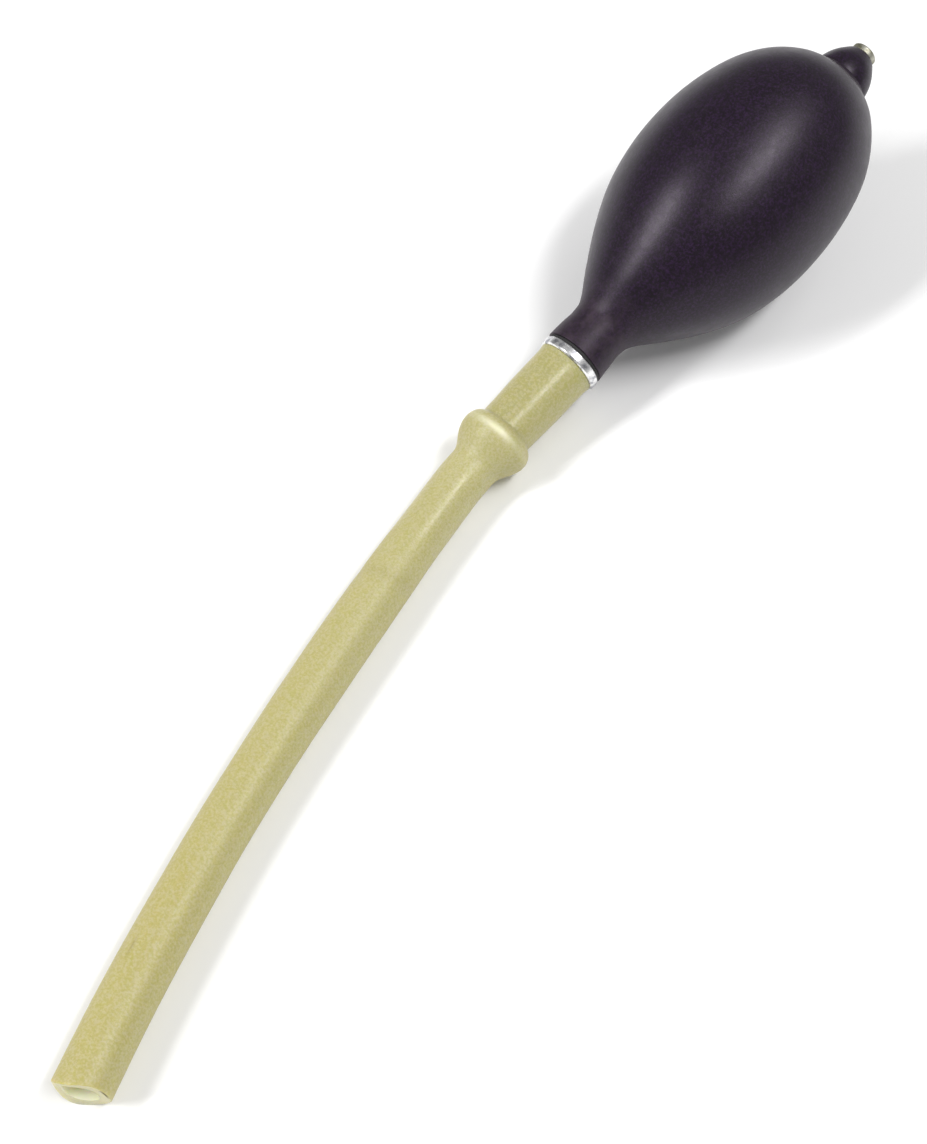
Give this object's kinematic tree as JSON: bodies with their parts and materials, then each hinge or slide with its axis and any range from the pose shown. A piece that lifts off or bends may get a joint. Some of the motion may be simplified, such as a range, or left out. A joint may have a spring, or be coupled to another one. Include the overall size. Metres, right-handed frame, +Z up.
{
  "type": "dust blower bulb",
  "caption": "Hand-squeezed dust blower: pear-shaped black rubber bulb with a metal rear inlet valve, and an aluminium check-valve fitting with a length of amber latex hose.",
  "frame": {"origin": "middle of the small flat on the bulb's belly, on the surface that the blower lies on", "axes": "+Z up; the bulb's axis lies in the XZ plane and rises towards its rear end at +X; the hose lies towards -X"},
  "size_m": [0.3188, 0.0808, 0.0564],
  "materials": {
    "bulb_rubber": "matte moulded rubber, near black with a purple-brown cast",
    "washer_rubber": "matte cut sheet rubber",
    "turned_aluminium": "fine turned, lightly brushed",
    "valve_steel": "polished ball",
    "spring_steel": "drawn stainless wire and pressed sheet",
    "amber_latex": "translucent amber natural latex, satin with a faint talc bloom",
    "nickel_plate": "nickel plated brass, warm white",
    "brass_gauze": "fine punched brass screen"
  },
  "bodies": {
    "blower": {"bulb": "bulb_rubber", "neck_washer": "washer_rubber", "neck_fitting": "turned_aluminium", "outlet_spring": "spring_steel", "hose_tail": "turned_aluminium", "hose_cuff": "amber_latex", "hose": "amber_latex"},
    "rear_valve": {"inlet_valve_body": "nickel_plate", "inlet_screen": "brass_gauze", "inlet_retainer": "spring_steel"},
    "outlet_ball": {"outlet_ball": "valve_steel"},
    "inlet_ball": {"inlet_ball": "valve_steel"}
  },
  "joints": [
    {"name": "bulb_squeeze", "type": "slide", "parent": "blower", "child": "rear_valve", "axis": [-0.9787, 0, -0.2052], "range_m": [0, 0.015], "stiffness_N_per_m": 1300, "deforming": ["bulb"]},
    {"name": "outlet_valve", "type": "slide", "parent": "blower", "child": "outlet_ball", "axis": [-0.9787, 0, -0.2052], "range_m": [0, 0.0012], "stiffness_N_per_m": 20, "springref_m": -0.002, "deforming": ["outlet_spring"]},
    {"name": "inlet_valve", "type": "slide", "parent": "rear_valve", "child": "inlet_ball", "axis": [0.9787, 0, 0.2052], "range_m": [0, 0.0012]}
  ]
}
